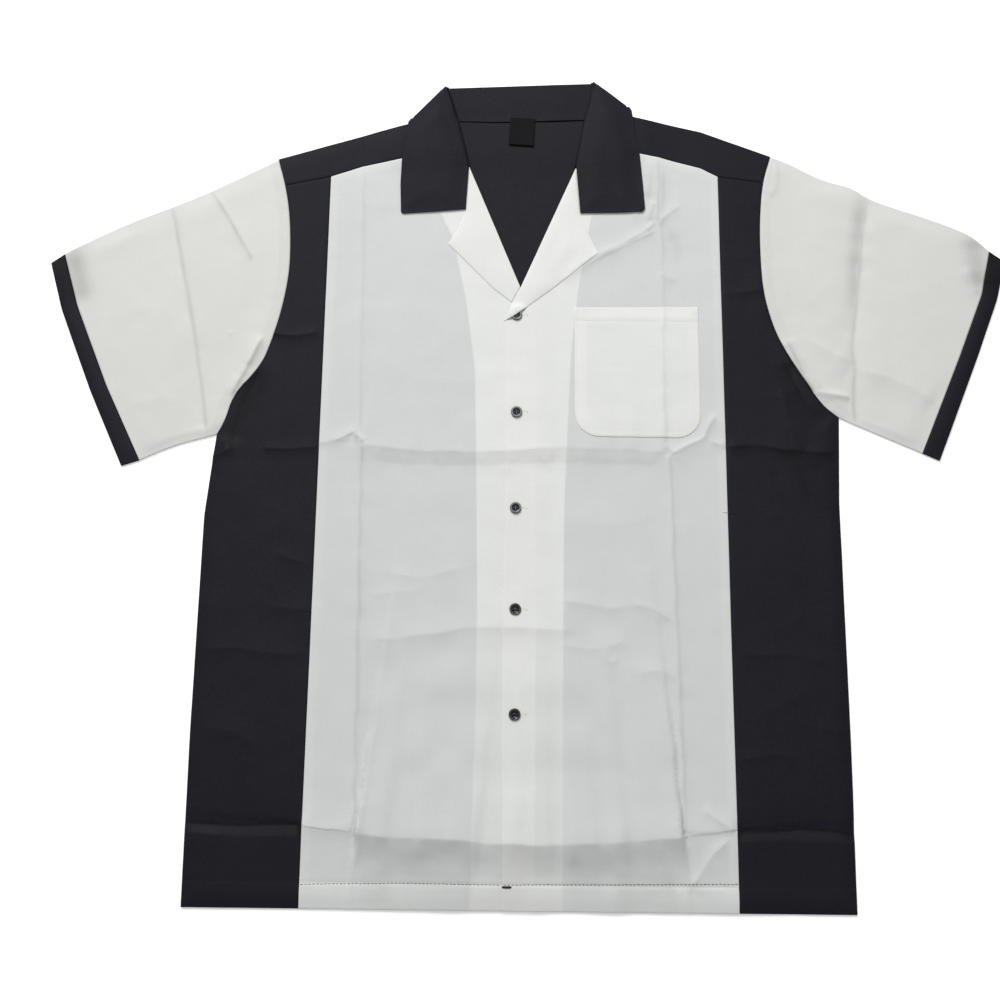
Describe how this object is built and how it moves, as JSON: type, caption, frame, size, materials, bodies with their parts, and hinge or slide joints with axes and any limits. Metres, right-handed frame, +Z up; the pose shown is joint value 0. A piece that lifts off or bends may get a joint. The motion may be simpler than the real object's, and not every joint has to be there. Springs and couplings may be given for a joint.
{
  "type": "bowling shirt",
  "caption": "Short-sleeved camp-collar bowling shirt laid flat, front up and buttoned, in two tones: dark collar, yokes, sides and sleeve bands on pale fronts and sleeves, with a chest pocket.",
  "frame": {"origin": "middle of the plan box of the laid-out shirt, on the surface it lies on", "axes": "+X to the wearer's left, along the sleeves; +Y from the hem to the collar; +Z up out of the front"},
  "size_m": [0.9954, 0.853, 0.0082],
  "materials": {
    "white_cloth": "off-white poplin, fine plain weave, matt",
    "black_cloth": "black poplin, fine plain weave, matt",
    "label_cloth": "black woven label, bare",
    "button_plastic": "glossy black with four holes"
  },
  "bodies": {
    "root": {"front_right": "white_cloth", "front_left": "white_cloth", "lapel_right": "white_cloth", "lapel_left": "white_cloth", "pocket": "white_cloth", "sleeve_right": "white_cloth", "sleeve_left": "white_cloth", "back": "black_cloth", "side_right": "black_cloth", "side_left": "black_cloth", "yoke_right": "black_cloth", "yoke_left": "black_cloth", "collar": "black_cloth", "band_right": "black_cloth", "band_left": "black_cloth", "neck_label": "label_cloth", "button_1": "button_plastic", "button_2": "button_plastic", "button_3": "button_plastic", "button_4": "button_plastic", "button_5": "button_plastic"}
  },
  "joints": []
}
